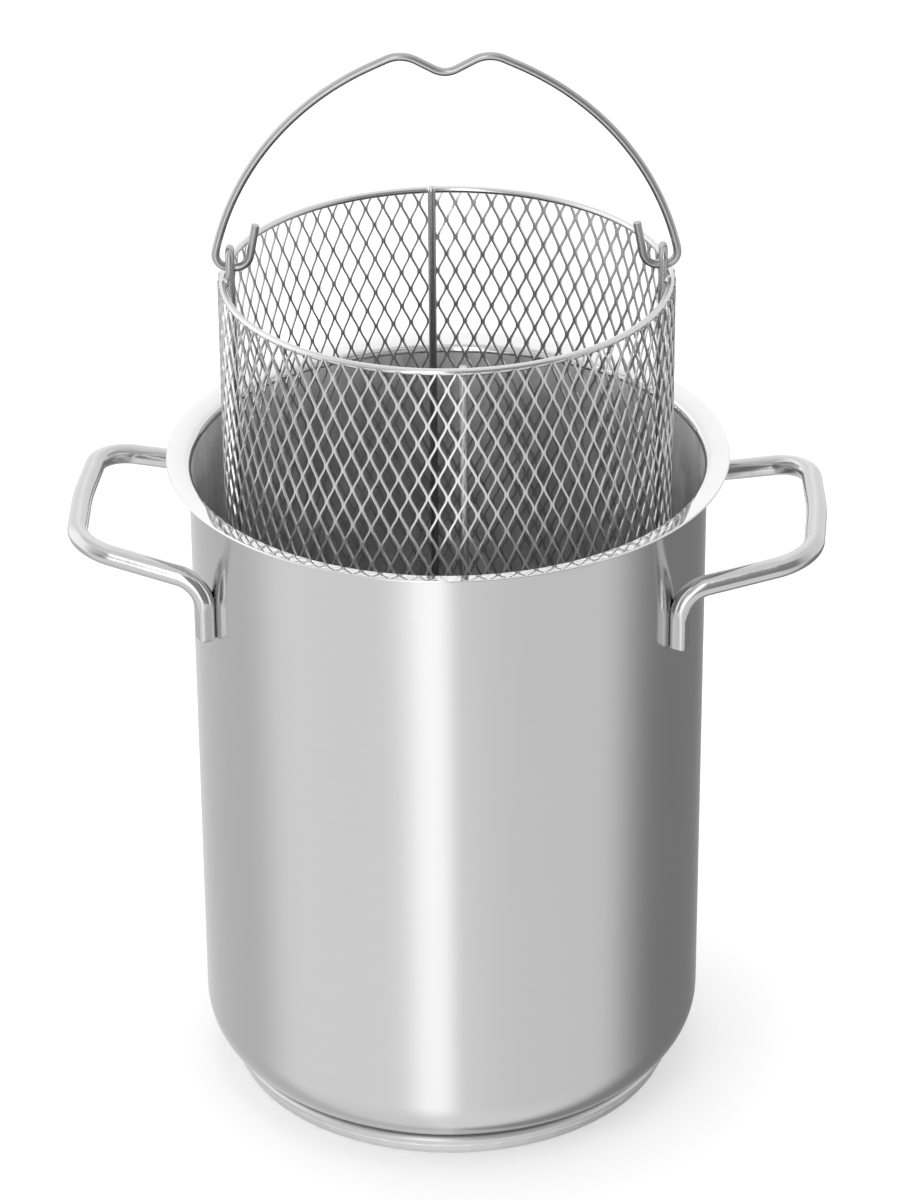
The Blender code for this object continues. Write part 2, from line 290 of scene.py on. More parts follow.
class Finish:
    """A node tree being filled, for a material or the world."""

    def __init__(self, owner):
        owner.use_nodes = True
        self.owner = owner
        self.tree = owner.node_tree
        self.shader = self.tree.nodes.get("Principled BSDF") or self.tree.nodes["Background"]

    def node(self, kind, settings=None, values=None):
        """Adds a node of that kind: its settings first, then the values or links of its sockets."""
        made = self.tree.nodes.new(kind)
        for name, setting in (settings or {}).items():
            if name == "stops":
                self.set_stops(made.color_ramp, setting)
            else:
                setattr(made, name, setting)
        for name, value in (values or {}).items():
            self.feed(made.inputs[name], value)
        return made

    def set_stops(self, ramp, stops):
        while len(ramp.elements) < len(stops):
            ramp.elements.new(0.5)
        for element, (place, level) in zip(ramp.elements, stops):
            element.position = place
            element.color = (*grey(level), 1.0)

    def feed(self, socket, value):
        """Links a socket or sets its value."""
        if isinstance(value, Number):
            value = value.socket
        if isinstance(value, bpy.types.NodeSocket):
            self.tree.links.new(value, socket)
        else:
            socket.default_value = value

    def give(self, name, value):
        """Feeds a socket of the shader itself."""
        self.feed(self.shader.inputs[name], value)

    def maths(self, operation, *values):
        made = self.node("ShaderNodeMath", {"operation": operation}, dict(enumerate(values)))
        return Number(self, made.outputs[0])

    def place(self, coordinates="Object"):
        """The point on the surface, or in the world's Generated the direction, as three numbers."""
        point = self.node("ShaderNodeTexCoord").outputs[coordinates]
        split = self.node("ShaderNodeSeparateXYZ", values={0: point})
        return [Number(self, split.outputs[axis]) for axis in range(3)]

    def ray(self, kind):
        """1 on rays of that kind and 0 on all others."""
        return Number(self, self.node("ShaderNodeLightPath").outputs[kind])

    def noise(self, x, y, z, scale, detail=2.0, roughness=0.5):
        """Noise from 0 to 1 about 0.5 at a point given by three numbers."""
        point = self.node("ShaderNodeCombineXYZ", values={0: x, 1: y, 2: z})
        made = self.node(
            "ShaderNodeTexNoise",
            {"noise_dimensions": "3D"},
            {"Vector": point.outputs[0], "Scale": scale, "Detail": detail, "Roughness": roughness},
        )
        return Number(self, made.outputs["Fac"])

    def ramp(self, value, stops):
        """A grey that follows a number through its stops."""
        made = self.node("ShaderNodeValToRGB", {"stops": stops}, {"Fac": value})
        return made.outputs["Color"]

    def shade(self, colour, factor):
        """A colour made lighter or darker by a number."""
        values = {0: tuple(colour), "Scale": factor}
        return self.node("ShaderNodeVectorMath", {"operation": "SCALE"}, values).outputs[0]

    def mix(self, factor, first, second):
        """A blend from the first colour to the second."""
        values = {"Factor": factor, FIRST_COLOUR: first, SECOND_COLOUR: second}
        return self.node("ShaderNodeMix", {"data_type": "RGBA"}, values).outputs[MIXED_COLOUR]

    def relief(self, height, strength, distance):
        """Bumps from a height, felt by the shader's Normal."""
        values = {"Strength": strength, "Distance": distance, "Height": height}
        self.give("Normal", self.node("ShaderNodeBump", values=values).outputs[0])


def steel(name, anisotropy=0.0):
    """A metal that still needs its colour and polish. Anisotropy spreads its shine across the brushing."""
    quarter_turn = 0.25
    finish = Finish(bpy.data.materials.new(name))
    finish.give("Metallic", 1.0)
    finish.give("Anisotropic", anisotropy)
    finish.give("Anisotropic Rotation", quarter_turn)
    return finish


def satin_steel(colours):
    """Wall brushed round and round: fine level lines, with faint clouds in the polish."""
    finish = steel("satin_steel", anisotropy=0.85)
    x, y, z = finish.place()
    radius = (x * x + y * y) ** 0.5
    lines = finish.noise(x * 0.02, y * 0.02, z + radius, scale=9000.0)
    bands = finish.noise(x * 0.05, y * 0.05, z + radius, scale=700.0, detail=3.0)
    clouds = finish.noise(x, y, z * 0.6, scale=28.0, detail=3.0)
    tone = 0.965 + 0.03 * lines + 0.02 * bands + 0.02 * clouds
    finish.give("Base Color", finish.shade(colours.satin, tone))
    finish.give("Roughness", 0.10 + 0.04 * lines + 0.05 * clouds)
    finish.relief(lines, strength=0.10, distance=0.01 * MM)
    return finish.owner


def inside_steel(colours):
    """Inside of the pot: duller, with the cloudy marks that the drawing leaves, and painted lighter near the
    rim as if more light fell there.
    """
    finish = steel("inside_steel", anisotropy=0.9)
    x, y, z = finish.place()
    clouds = finish.noise(x, y, z * 0.6, scale=90.0, detail=5.0, roughness=0.7)
    streaks = finish.noise(x, y, z * 0.04, scale=300.0)
    # Painted light: a band under the rim is made paler and less metallic, standing in for the light that
    # falls on the top of the wall.
    painted_light_band = 20 * MM
    painted_rim_light = finish.maths("MAXIMUM", (z - (POT_HIGH.z - painted_light_band)) / painted_light_band, 0.0)
    tone = 0.88 + (clouds - 0.5) + 0.3 * (streaks - 0.5) + 0.35 * painted_rim_light
    finish.give("Base Color", finish.shade(colours.inside, tone))
    finish.give("Roughness", 0.48 + 0.20 * clouds)
    finish.give("Metallic", 1.0 - 0.40 * clouds - 0.60 * painted_rim_light)
    finish.relief(clouds, strength=0.12, distance=0.4 * MM)
    return finish.owner


def polished_steel(colours, name, darker, roughness):
    """Rim and handles: near mirror, with faint buffing marks and the haze of fingerprints."""
    colour = [channel * darker for channel in colours.polished]
    finish = steel(name)
    x, y, z = finish.place()
    buffing = finish.noise(x, y, z, scale=2600.0)
    haze = finish.noise(x, y, z, scale=110.0, detail=3.0)
    finish.give("Base Color", finish.shade(colour, 0.95 + 0.06 * haze))
    finish.give("Roughness", roughness + 0.04 * haze + 0.02 * buffing)
    finish.relief(haze, strength=0.05 + 2.5 * roughness, distance=0.3 * MM)
    return finish.owner


def capsule_steel(colours):
    """Base capsule, turned bright: fine rings under it and round its edge."""
    finish = steel("capsule_steel", anisotropy=0.3)
    x, y, z = finish.place()
    radius = (x * x + y * y) ** 0.5
    rings = finish.noise(x * 0.02, y * 0.02, z + radius, scale=6000.0)
    haze = finish.noise(x, y, z, scale=50.0, detail=3.0)
    finish.give("Base Color", finish.shade(colours.polished, 0.76 + 0.05 * rings + 0.04 * haze))
    finish.give("Roughness", 0.26 + 0.10 * rings + 0.06 * haze)
    finish.give("Metallic", 0.6)
    finish.relief(rings, strength=0.10, distance=0.01 * MM)
    return finish.owner


def wire_steel(colours, name, darker, roughness):
    """Drawn wire: faint die marks along it, and a tone that wanders."""
    colour = [channel * darker for channel in colours.wire]
    finish = steel(name)
    x, y, z = finish.place()
    marks = finish.noise(x, y, z, scale=900.0, detail=3.0)
    haze = finish.noise(x, y, z, scale=90.0)
    finish.give("Base Color", finish.shade(colour, 0.90 + 0.08 * marks + 0.10 * haze))
    finish.give("Roughness", roughness - 0.05 + 0.06 * marks + 0.04 * haze)
    finish.relief(marks, strength=0.08, distance=0.04 * MM)
    return finish.owner


def mesh_steel(colours):
    """Expanded sheet: sheared strands, each a little different in tone and polish."""
    finish = steel("mesh_steel")
    x, y, z = finish.place()
    strands = finish.noise(x, y, z, scale=260.0)
    shear = finish.noise(x, y, z, scale=2200.0, detail=3.0)
    finish.give("Base Color", finish.shade(colours.mesh, 0.82 + 0.20 * strands + 0.08 * shear))
    finish.give("Roughness", 0.12 + 0.08 * strands + 0.08 * shear)
    finish.give("Metallic", 0.95 - 0.25 * strands)
    finish.relief(shear, strength=0.15, distance=0.05 * MM)
    return finish.owner


def aluminium():
    """Core of the base: cast disc with a turned edge."""
    finish = steel("aluminium")
    x, y, z = finish.place()
    grain = finish.noise(x, y, z, scale=1500.0, detail=3.0)
    finish.give("Base Color", finish.shade((0.74, 0.74, 0.75), 0.92 + 0.10 * grain))
    finish.give("Roughness", 0.40 + 0.10 * grain)
    return finish.owner


# Modelling with the mesh operators


def select_only(piece):
    bpy.ops.object.select_all(action="DESELECT")
    piece.select_set(True)
    bpy.context.view_layer.objects.active = piece


def begin(name):
    """Names the primitive just added, puts its place in its mesh and opens it for editing."""
    piece = bpy.context.object
    piece.name = name
    piece.data.name = name
    select_only(piece)
    bpy.ops.object.transform_apply(location=True, rotation=True, scale=True)
    bpy.ops.object.mode_set(mode="EDIT")
    bpy.ops.mesh.select_mode(type="VERT")
    bpy.ops.mesh.select_all(action="SELECT")
    return piece


def choose(piece, kind, test):
    """Selects those of the piece's elements, of the kind VERT, EDGE or FACE, that pass the test."""
    bpy.ops.mesh.select_mode(type=kind)
    bpy.ops.mesh.select_all(action="DESELECT")
    mesh = bmesh.from_edit_mesh(piece.data)
    for element in {"VERT": mesh.verts, "EDGE": mesh.edges, "FACE": mesh.faces}[kind]:
        element.select_set(test(element))
    mesh.select_flush_mode()
    bmesh.update_edit_mesh(piece.data)


def middle(element):
    """Middle of an edge or face."""
    return sum((vert.co for vert in element.verts), Vector()) / len(element.verts)


def push(step):
    """Extrudes what is selected by a step."""
    bpy.ops.mesh.extrude_region_move(TRANSFORM_OT_translate={"value": tuple(step)})


def close_up(piece):
    """Welds the seams, caps what is open and turns every face outwards, then leaves edit mode."""
    bpy.ops.mesh.select_mode(type="VERT")
    bpy.ops.mesh.select_all(action="SELECT")
    bpy.ops.mesh.remove_doubles(threshold=SAME_POINT)
    bpy.ops.mesh.fill_holes(sides=0)
    bpy.ops.mesh.normals_make_consistent(inside=False)
    bpy.ops.object.mode_set(mode="OBJECT")
    check = bmesh.new()
    check.from_mesh(piece.data)
    still_open = sum(not edge.is_manifold for edge in check.edges)
    check.free()
    if still_open:
        raise RuntimeError(f"{piece.name} has {still_open} open edges")


def apply_modifiers(piece):
    select_only(piece)
    for modifier in list(piece.modifiers):
        bpy.ops.object.modifier_apply(modifier=modifier.name)


def turn_about_z(piece, angle):
    """Turns a whole piece about the upright axis, in its mesh."""
    select_only(piece)
    piece.rotation_euler.z = angle
    bpy.ops.object.transform_apply(location=True, rotation=True, scale=True)


def dress(piece, body, slot, finish, *nodes):
    """Smooths a finished piece, gives it its steel and its body, and hides the solids it stands for."""
    select_only(piece)
    bpy.ops.object.transform_apply(location=True, rotation=True, scale=True)
    bpy.ops.object.shade_smooth_by_angle(angle=SHARP)
    piece.data.materials.append(finish)
    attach(piece, body)
    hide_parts(*nodes)


def give_faces(piece, finish, test):
    """Gives some of a piece's faces another steel, chosen by their middle."""
    piece.data.materials.append(finish)
    select_only(piece)
    bpy.ops.object.mode_set(mode="EDIT")
    choose(piece, "FACE", lambda face: test(middle(face)))
    piece.active_material_index = len(piece.data.materials) - 1
    bpy.ops.object.material_slot_assign()
    bpy.ops.object.mode_set(mode="OBJECT")


def arc(centre, radius, start, end, steps):
    """Points of an arc from one angle to the other, in degrees."""
    points = []
    for step in range(steps + 1):
        angle = math.radians(start + (end - start) * step / steps)
        points.append((centre[0] + radius * math.cos(angle), centre[1] + radius * math.sin(angle)))
    return points


def turned(name, profile, segments):
    """A closed shell turned about the upright axis: a circle pushed and resized along its profile."""
    radius, height = profile[0]
    bpy.ops.object.select_all(action="DESELECT")
    bpy.ops.mesh.primitive_circle_add(vertices=segments, radius=radius, location=(0, 0, height))
    piece = begin(name)
    for next_radius, next_height in profile[1:]:
        push((0, 0, next_height - height))
        share = next_radius / radius
        bpy.ops.transform.resize(value=(share, share, 1), center_override=(0, 0, next_height))
        radius, height = next_radius, next_height
    close_up(piece)
    return piece


def bends_of(corners, radii):
    """Where each bend of a route starts and ends, its centre, axis, angle and radius.

    A run that is too short for the bends at its two ends makes both of them smaller.
    """
    runs = [(after - before).length for before, after in zip(corners, corners[1:])]
    halves = [
        (before - corner).angle(after - corner) / 2
        for before, corner, after in zip(corners, corners[1:], corners[2:])
    ]
    reach = [0.0] + [radius / math.tan(half) for radius, half in zip(radii, halves)] + [0.0]
    share = [min(1.0, run / (reach[i] + reach[i + 1])) for i, run in enumerate(runs)]
    bends = []
    for index, half in enumerate(halves, start=1):
        corner = corners[index]
        into = (corners[index - 1] - corner).normalized()
        out = (corners[index + 1] - corner).normalized()
        cut = reach[index] * min(share[index - 1], share[index])
        start = corner + into * cut
        end = corner + out * cut
        radius = cut * math.tan(half)
        centre = corner + (into + out).normalized() * radius / math.sin(half)
        axis = (start - centre).cross(end - centre).normalized()
        bends.append((start, end, centre, axis, math.pi - 2 * half, radius))
    return bends


def bent_wire(name, corners, radii, wire, sides, chord):
    """A round wire, left open in edit mode: pushed along its runs and spun round its bends.

    wire is its radius, sides are those of its section, and chord is the longest step round a bend.
    """
    corners = [Vector(corner) for corner in corners]
    direction = corners[1] - corners[0]
    bpy.ops.object.select_all(action="DESELECT")
    bpy.ops.mesh.primitive_circle_add(
        vertices=sides,
        radius=wire,
        location=corners[0],
        rotation=direction.to_track_quat("Z", "Y").to_euler(),
    )
    piece = begin(name)
    place = corners[0]
    for start, end, centre, axis, angle, radius in bends_of(corners, radii):
        if (start - place).length > SAME_POINT:
            push(start - place)
        steps = max(3, math.ceil(angle * (radius + wire) / chord))
        bpy.ops.mesh.spin(steps=steps, angle=-angle, center=centre, axis=axis)
        place = end
    push(corners[-1] - place)
    mesh = bmesh.from_edit_mesh(piece.data)
    section = [vert.co for vert in mesh.verts if vert.select]
    missed = (sum(section, Vector()) / len(section) - corners[-1]).length
    if missed > SAME_POINT:
        raise RuntimeError(f"{name} ends {missed:.5f} m from its last corner")
    return piece


def ring(name, radius, height, wire, sides, steps):
    """A ring of round wire: its section spun once round."""
    bpy.ops.object.select_all(action="DESELECT")
    bpy.ops.mesh.primitive_circle_add(
        vertices=sides, radius=wire, location=(radius, 0, height), rotation=(math.pi / 2, 0, 0)
    )
    piece = begin(name)
    bpy.ops.mesh.spin(steps=steps, angle=math.tau, center=(0, 0, 0), axis=(0, 0, 1))
    close_up(piece)
    return piece


def cut_away(piece, cutter, operation):
    """Cuts a piece with another by the operation DIFFERENCE or INTERSECT. The other then goes."""
    boolean = piece.modifiers.new("Cut", "BOOLEAN")
    boolean.operation = operation
    boolean.solver = "EXACT"
    boolean.object = cutter
    apply_modifiers(piece)
    bpy.data.objects.remove(cutter, do_unlink=True)


# Pot


def rim_centres(pot):
    """Centre of the bend under the rim and of the rim's rounded edge."""
    half = pot.wall / 2
    edge = (pot.rim_radius - half, pot.rim_height - pot.rim_drop - half)
    middle_bend = pot.rim_bend + half
    bend_radius = pot.wall_radius + pot.rim_bend
    run = edge[0] - bend_radius + middle_bend * math.sin(pot.rim_slope)
    height = edge[1] - run * math.tan(pot.rim_slope) - middle_bend * math.cos(pot.rim_slope)
    return (bend_radius, height), edge


def pot_profile(pot):
    """Outer skin from the middle of the bottom to the rim's edge, and back along the inner skin.

    A guard circle beyond each bend keeps the smooth shading of the bend off the straight wall.
    """
    wall_in = pot.wall_radius - pot.wall
    bottom_in = pot.base_height + pot.wall
    corner = (pot.wall_radius - pot.corner, pot.base_height + pot.corner)
    bend, edge = rim_centres(pot)
    slope = math.degrees(pot.rim_slope)
    guard = 0.4 * MM
    profile = [(radius, pot.base_height) for radius in BOTTOM_CIRCLES]
    profile += arc(corner, pot.corner, -90, 0, steps=14)
    profile += [(pot.wall_radius, corner[1] + guard), (pot.wall_radius, bend[1] - guard)]
    profile += arc(bend, pot.rim_bend, 180, 90 + slope, steps=8)
    profile += arc(edge, pot.wall / 2, slope - 90, slope + 90, steps=8)
    profile += arc(bend, pot.rim_bend + pot.wall, 90 + slope, 180, steps=9)
    profile += [(wall_in, bend[1] - guard), (wall_in, corner[1] + guard)]
    profile += arc(corner, pot.corner - pot.wall, 0, -90, steps=14)
    profile += [(radius, bottom_in) for radius in reversed(BOTTOM_CIRCLES)]
    return profile


class ASPARAGUS_OT_pot(bpy.types.Operator):
    """Turn the pot: brushed wall, dull inside and polished pouring rim"""

    bl_idname = "asparagus.pot"
    bl_label = "Pot"

    def execute(self, context):
        pot = context.scene.asparagus_pot
        colours = context.scene.asparagus_colours
        piece = turned("pot", pot_profile(pot), pot.segments)
        dress(piece, "pot", "satin_steel", satin_steel(colours), "pot_body")
        half_wall = pot.wall / 2

        def on_inside(place):
            radius = math.hypot(place.x, place.y)
            outwards = radius - (pot.wall_radius - pot.corner)
            downwards = pot.base_height + pot.corner - place.z
            if outwards > 0 and downwards > 0:
                return math.hypot(outwards, downwards) < pot.corner - half_wall
            return radius < pot.wall_radius - half_wall and place.z > pot.base_height + half_wall

        give_faces(piece, inside_steel(colours), on_inside)
        rim_foot = rim_centres(pot)[0][1]
        rim_steel = polished_steel(colours, "polished_steel", darker=0.96, roughness=0.015)
        give_faces(piece, rim_steel, lambda place: place.z > rim_foot)
        return {"FINISHED"}


def capsule_profile(pot):
    """Outer skin of the capsule up its leaning side to the lip, a small flange, and back inside."""
    wall = 0.6 * MM
    edge = 1.0 * MM
    lip_radius = pot.base_radius - 0.4 * MM
    lip_top = 7.01 * MM
    lean_in = 1.9 * MM
    flange_width = 1.0 * MM
    flange_foot, flange_top = 6.4 * MM, 7 * MM
    lip = (lip_radius - edge, lip_top - edge)
    foot = (lip[0] - lean_in, edge)
    lean = math.degrees(math.atan2(lip[0] - foot[0], lip[1] - foot[1]))
    profile = [(radius, 0) for radius in BOTTOM_CIRCLES]
    profile += arc(foot, edge, -90, -lean, steps=8)
    profile += arc(lip, edge, -lean, 90, steps=8)
    profile += [(lip[0] - flange_width, flange_top), (lip[0] - flange_width, flange_foot)]
    profile += arc(lip, edge - wall, 90, -lean, steps=8)
    profile += arc(foot, edge - wall, -lean, -90, steps=8)
    profile += [(radius, wall) for radius in reversed(BOTTOM_CIRCLES)]
    return profile


class ASPARAGUS_OT_base(bpy.types.Operator):
    """Turn the bright capsule of the sandwich base and give its core its finish"""

    bl_idname = "asparagus.base"
    bl_label = "Base"

    def execute(self, context):
        pot = context.scene.asparagus_pot
        piece = turned("base_capsule", capsule_profile(pot), pot.segments)
        finish = capsule_steel(context.scene.asparagus_colours)
        dress(piece, "pot", "capsule_steel", finish, "base_cap")
        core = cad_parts["base_core"]
        core.data.materials.clear()
        core.data.materials.append(aluminium())
        return {"FINISHED"}


def press_flat(piece, foot, bearing, distance, top):
    """Presses one side of a leg flat: its points beyond the flat are brought back to it."""
    outward = Vector((math.cos(bearing), math.sin(bearing), 0))
    leg_reach = 5 * MM

    def beyond(vert):
        aside = (vert.co - foot) * Vector((1, 1, 0))
        return vert.co.z < top and aside.length < leg_reach and aside.dot(outward) > distance

    choose(piece, "VERT", beyond)
    bpy.ops.transform.rotate(value=bearing, orient_axis="Z", center_override=foot)
    bpy.ops.transform.resize(value=(0, 1, 1), center_override=foot + Vector((distance, 0, 0)))
    bpy.ops.transform.rotate(value=-bearing, orient_axis="Z", center_override=foot)


def handle(name, pot):
    """The right handle: a rod bent to a rounded frame, its two legs pressed flat on the wall."""
    rod = pot.handle_rod
    sunk = 0.5 * MM
    spread = 39.8 * MM
    leg_x = math.sqrt((pot.wall_radius + rod - sunk) ** 2 - spread ** 2)
    leg_top = pot.rim_height - 27.5 * MM
    leg_foot = leg_top - 19.5 * MM
    chamfer, chamfer_share = 0.9 * MM, 0.72
    grip_x = pot.wall_radius + 32.3 * MM
    grip_z = leg_top + 8.6 * MM
    grip_half, grip_bow = 33.1 * MM, 1.8 * MM
    leg_bend, grip_bend, bow_bend = 10 * MM, 14.5 * MM, 120 * MM
    front = [
        (leg_x, -spread, leg_foot + chamfer),
        (leg_x, -spread, leg_top),
        (grip_x, -grip_half, grip_z),
        (grip_x + grip_bow, 0, grip_z),
    ]
    corners = front + [(x, -y, z) for x, y, z in reversed(front[:-1])]
    radii = [leg_bend, grip_bend, bow_bend, grip_bend, leg_bend]
    piece = bent_wire(name, corners, radii, rod, sides=32, chord=0.8 * MM)

    # The flats deepen downwards in seven steps, and the outer one starts four steps further down
    steps, flat_start, flat_step = 7, 4.2, 0.7
    tapers = [(leg_top - (flat_start + flat_step * step) * MM, step / steps) for step in range(steps + 1)]
    outer_tapers, outer_start = tapers[4:], 0.4
    side_flat, outer_flat = 2.8 * MM, 2.6 * MM
    margin = 0.1 * MM
    for height, _ in tapers:
        bpy.ops.mesh.select_all(action="SELECT")
        bpy.ops.mesh.bisect(plane_co=(0, 0, height), plane_no=(0, 0, 1), threshold=ON_PLANE)
    for side in (-1, 1):
        foot = Vector((leg_x, side * spread, leg_foot + chamfer))
        bearing = math.atan2(side * spread, leg_x)
        for height, share in tapers:
            flat = rod - (rod - side_flat) * math.sin(share * math.pi / 2) ** 2
            for turn in (math.pi / 2, -math.pi / 2):
                press_flat(piece, foot, bearing + turn, flat, height + margin)
        for height, share in outer_tapers:
            flat = rod - (rod - outer_flat) * (share - outer_start) / (1 - outer_start)
            press_flat(piece, foot, bearing, flat, height + margin)
        choose(piece, "EDGE", lambda edge: edge.is_boundary and middle(edge).y * side > 0)
        push((0, 0, -chamfer))
        bpy.ops.transform.resize(value=(chamfer_share, chamfer_share, 1), center_override=foot)
    return piece


class ASPARAGUS_OT_handles(bpy.types.Operator):
    """Bend the two side handles and set them on the wall"""

    bl_idname = "asparagus.handles"
    bl_label = "Side handles"

    def execute(self, context):
        pot = context.scene.asparagus_pot
        colours = context.scene.asparagus_colours
        finish = polished_steel(colours, "handle_steel", darker=0.75, roughness=0.12)
        for name, angle, node in (("right_grip", 0, "right_handle"), ("left_grip", math.pi, "left_handle")):
            piece = handle(name, pot)
            close_up(piece)
            bpy.ops.mesh.primitive_cylinder_add(
                vertices=pot.segments, radius=pot.wall_radius, depth=2 * pot.rim_height
            )
            cut_away(piece, bpy.context.object, "DIFFERENCE")
            turn_about_z(piece, angle)
            dress(piece, "pot", "polished_steel", finish, node)
        return {"FINISHED"}


# Basket


def diamond_width(basket):
    return math.tau * basket.sheet_radius / basket.columns


def strand(name, basket):
    """One side of a diamond, from the middle of a bond to the middle of the next, with open ends."""
    cell_width, cell_height = diamond_width(basket), basket.cell_height
    width, depth = basket.strand_width, basket.strand_depth
    tilt = basket.strand_tilt
    bond = basket.bond_half
    aside = Vector((width / 2 * math.cos(tilt), -width / 2 * math.sin(tilt), 0))
    far = Vector((cell_width / 2 - aside.x, -aside.y, cell_height / 2))
    bpy.ops.object.select_all(action="DESELECT")

    # A square with sides of one, resized to the strand's section
    bpy.ops.mesh.primitive_circle_add(vertices=4, radius=math.sqrt(0.5), rotation=(0, 0, math.pi / 4))
    piece = begin(name)
    bpy.ops.transform.resize(value=(width, depth, 1), center_override=(0, 0, 0))
    lean = depth / 2 * math.tan(basket.strand_shear)
    for side in (-1, 1):
        choose(piece, "VERT", lambda vert: vert.co.y * side > 0)
        bpy.ops.transform.translate(value=(side * lean, 0, 0))
    bpy.ops.mesh.select_all(action="SELECT")
    bpy.ops.transform.rotate(value=tilt, orient_axis="Z", center_override=(0, 0, 0))
    bpy.ops.transform.translate(value=aside)

    # The bond, three steps up of which the middle one leans most, and the next bond
    push((0, 0, bond))
    run = far - aside - Vector((0, 0, 2 * bond))
    for share in (0.31, 0.38, 0.31):
        push((run.x * share, run.y * share, run.z / 3))
    push((0, 0, bond))
    joined = (Vector((0, 0, bond / 2)), Vector((cell_width / 2, 0, cell_height / 2 - bond / 2)))
    choose(piece, "FACE", lambda face: min((middle(face) - spot).length for spot in joined) < SAME_POINT)
    bpy.ops.mesh.delete(type="ONLY_FACE")
    bpy.ops.mesh.select_all(action="SELECT")
    bpy.ops.mesh.delete_loose()
    return piece


def expanded_sheet(name, basket, columns, rows):
    """A flat upright sheet of diamonds: a strand, its turned copy, their mirror image, and rows of that."""
    piece = strand(name, basket)
    bpy.ops.mesh.select_mode(type="VERT")
    bpy.ops.mesh.select_all(action="SELECT")
    bpy.ops.mesh.duplicate()
    bpy.ops.transform.rotate(value=math.pi, orient_axis="Z", center_override=(0, 0, 0))
    bpy.ops.object.mode_set(mode="OBJECT")
    mirror = piece.modifiers.new("Lower half", "MIRROR")
    mirror.use_axis = (False, False, True)
    mirror.merge_threshold = SAME_POINT / 10
    along, down = (diamond_width(basket), 0, 0), (0, 0, -basket.cell_height)
    for label, count, step in (("Round", columns, along), ("Down", rows, down)):
        array = piece.modifiers.new(label, "ARRAY")
        array.count = count
        array.use_relative_offset = False
        array.use_constant_offset = True
        array.constant_offset_displace = step
    apply_modifiers(piece)
    bpy.ops.object.mode_set(mode="EDIT")
    bpy.ops.mesh.select_all(action="SELECT")
    bpy.ops.mesh.remove_doubles(threshold=SAME_POINT)
    return piece


class ASPARAGUS_OT_sleeve(bpy.types.Operator):
    """Stretch, roll and trim the expanded sheet of the basket's side"""

    bl_idname = "asparagus.sleeve"
    bl_label = "Basket sleeve"

    def execute(self, context):
        basket = context.scene.asparagus_basket
        finish = mesh_steel(context.scene.asparagus_colours)
        piece = expanded_sheet("sleeve_mesh", basket, basket.columns, basket.rows)
        to_front = -(basket.columns // 2) * diamond_width(basket)
        bpy.ops.transform.translate(value=(to_front, 0, basket.first_bond))
        bpy.ops.object.mode_set(mode="OBJECT")
        roll = piece.modifiers.new("Roll", "SIMPLE_DEFORM")
        roll.deform_method = "BEND"
        roll.deform_axis = "Z"
        roll.angle = piece.dimensions.x / basket.sheet_radius
        apply_modifiers(piece)
        bpy.ops.object.mode_set(mode="EDIT")
        bpy.ops.mesh.select_all(action="SELECT")
        bpy.ops.transform.translate(value=(0, -basket.sheet_radius, 0))
        bpy.ops.mesh.remove_doubles(threshold=SAME_POINT)
        over_ring = 0.1 * MM
        for height, side in ((RING_HEIGHT + over_ring, 1), (BOTTOM_RING_HEIGHT, -1)):
            bpy.ops.mesh.select_all(action="SELECT")
            bpy.ops.mesh.bisect(
                plane_co=(0, 0, height),
                plane_no=(0, 0, side),
                use_fill=True,
                clear_outer=True,
                threshold=ON_PLANE,
            )
        close_up(piece)
        turn_about_z(piece, BASKET_TURN)
        dress(piece, "basket", "mesh_steel", finish, "basket_sleeve")
        return {"FINISHED"}


class ASPARAGUS_OT_basket_floor(bpy.types.Operator):
    """Cut the basket's floor round from a flat expanded sheet"""

    bl_idname = "asparagus.basket_floor"
    bl_label = "Basket floor"

    def execute(self, context):
        basket = context.scene.asparagus_basket
        finish = mesh_steel(context.scene.asparagus_colours)
        cell_width, cell_height = diamond_width(basket), basket.cell_height
        columns = 2 * math.ceil(basket.sheet_radius / cell_width) + 1
        rows = 2 * math.ceil(basket.sheet_radius / cell_height) + 1
        piece = expanded_sheet("floor_mesh", basket, columns, rows)
        bpy.ops.transform.translate(value=(-(columns // 2) * cell_width, 0, (rows // 2) * cell_height))
        bpy.ops.transform.rotate(value=math.pi / 2, orient_axis="X", center_override=(0, 0, 0))
        bpy.ops.transform.translate(value=(0, 0, FLOOR_LEVEL))
        close_up(piece)
        bpy.ops.object.select_all(action="DESELECT")
        bpy.ops.mesh.primitive_cylinder_add(
            vertices=2 * basket.columns,
            radius=basket.sheet_radius,
            depth=10 * MM,
            location=(0, 0, FLOOR_LEVEL),
        )
        cut_away(piece, bpy.context.object, "INTERSECT")
        turn_about_z(piece, BASKET_TURN)
        dress(piece, "basket", "mesh_steel", finish, "basket_floor")
        return {"FINISHED"}


def ring_welds(radius):
    """Weld beads inside the top ring: two at each eye and one at each end of the cross wire."""
    bead = 1.5 * MM
    reach = radius - 1.3 * MM
    front_height, back_height = RING_HEIGHT - 0.7 * MM, RING_HEIGHT + 0.5 * MM
    places = [(side * reach, aside, RING_HEIGHT) for side in (-1, 1) for aside in (-EYE_HALF, EYE_HALF)]
    for side, height in ((-1, front_height), (1, back_height)):
        places.append((-side * reach * math.sin(CROSS_TURN), side * reach * math.cos(CROSS_TURN), height))
    welds = turned("ring_welds", arc((0, 0), bead, -75, 75, steps=8), segments=20)
    bpy.ops.object.mode_set(mode="EDIT")
    bpy.ops.mesh.select_all(action="SELECT")
    bpy.ops.transform.translate(value=places[0])
    for before, place in zip(places, places[1:]):
        step = Vector(place) - Vector(before)
        bpy.ops.mesh.duplicate_move(TRANSFORM_OT_translate={"value": tuple(step)})
    bpy.ops.object.mode_set(mode="OBJECT")
    return welds


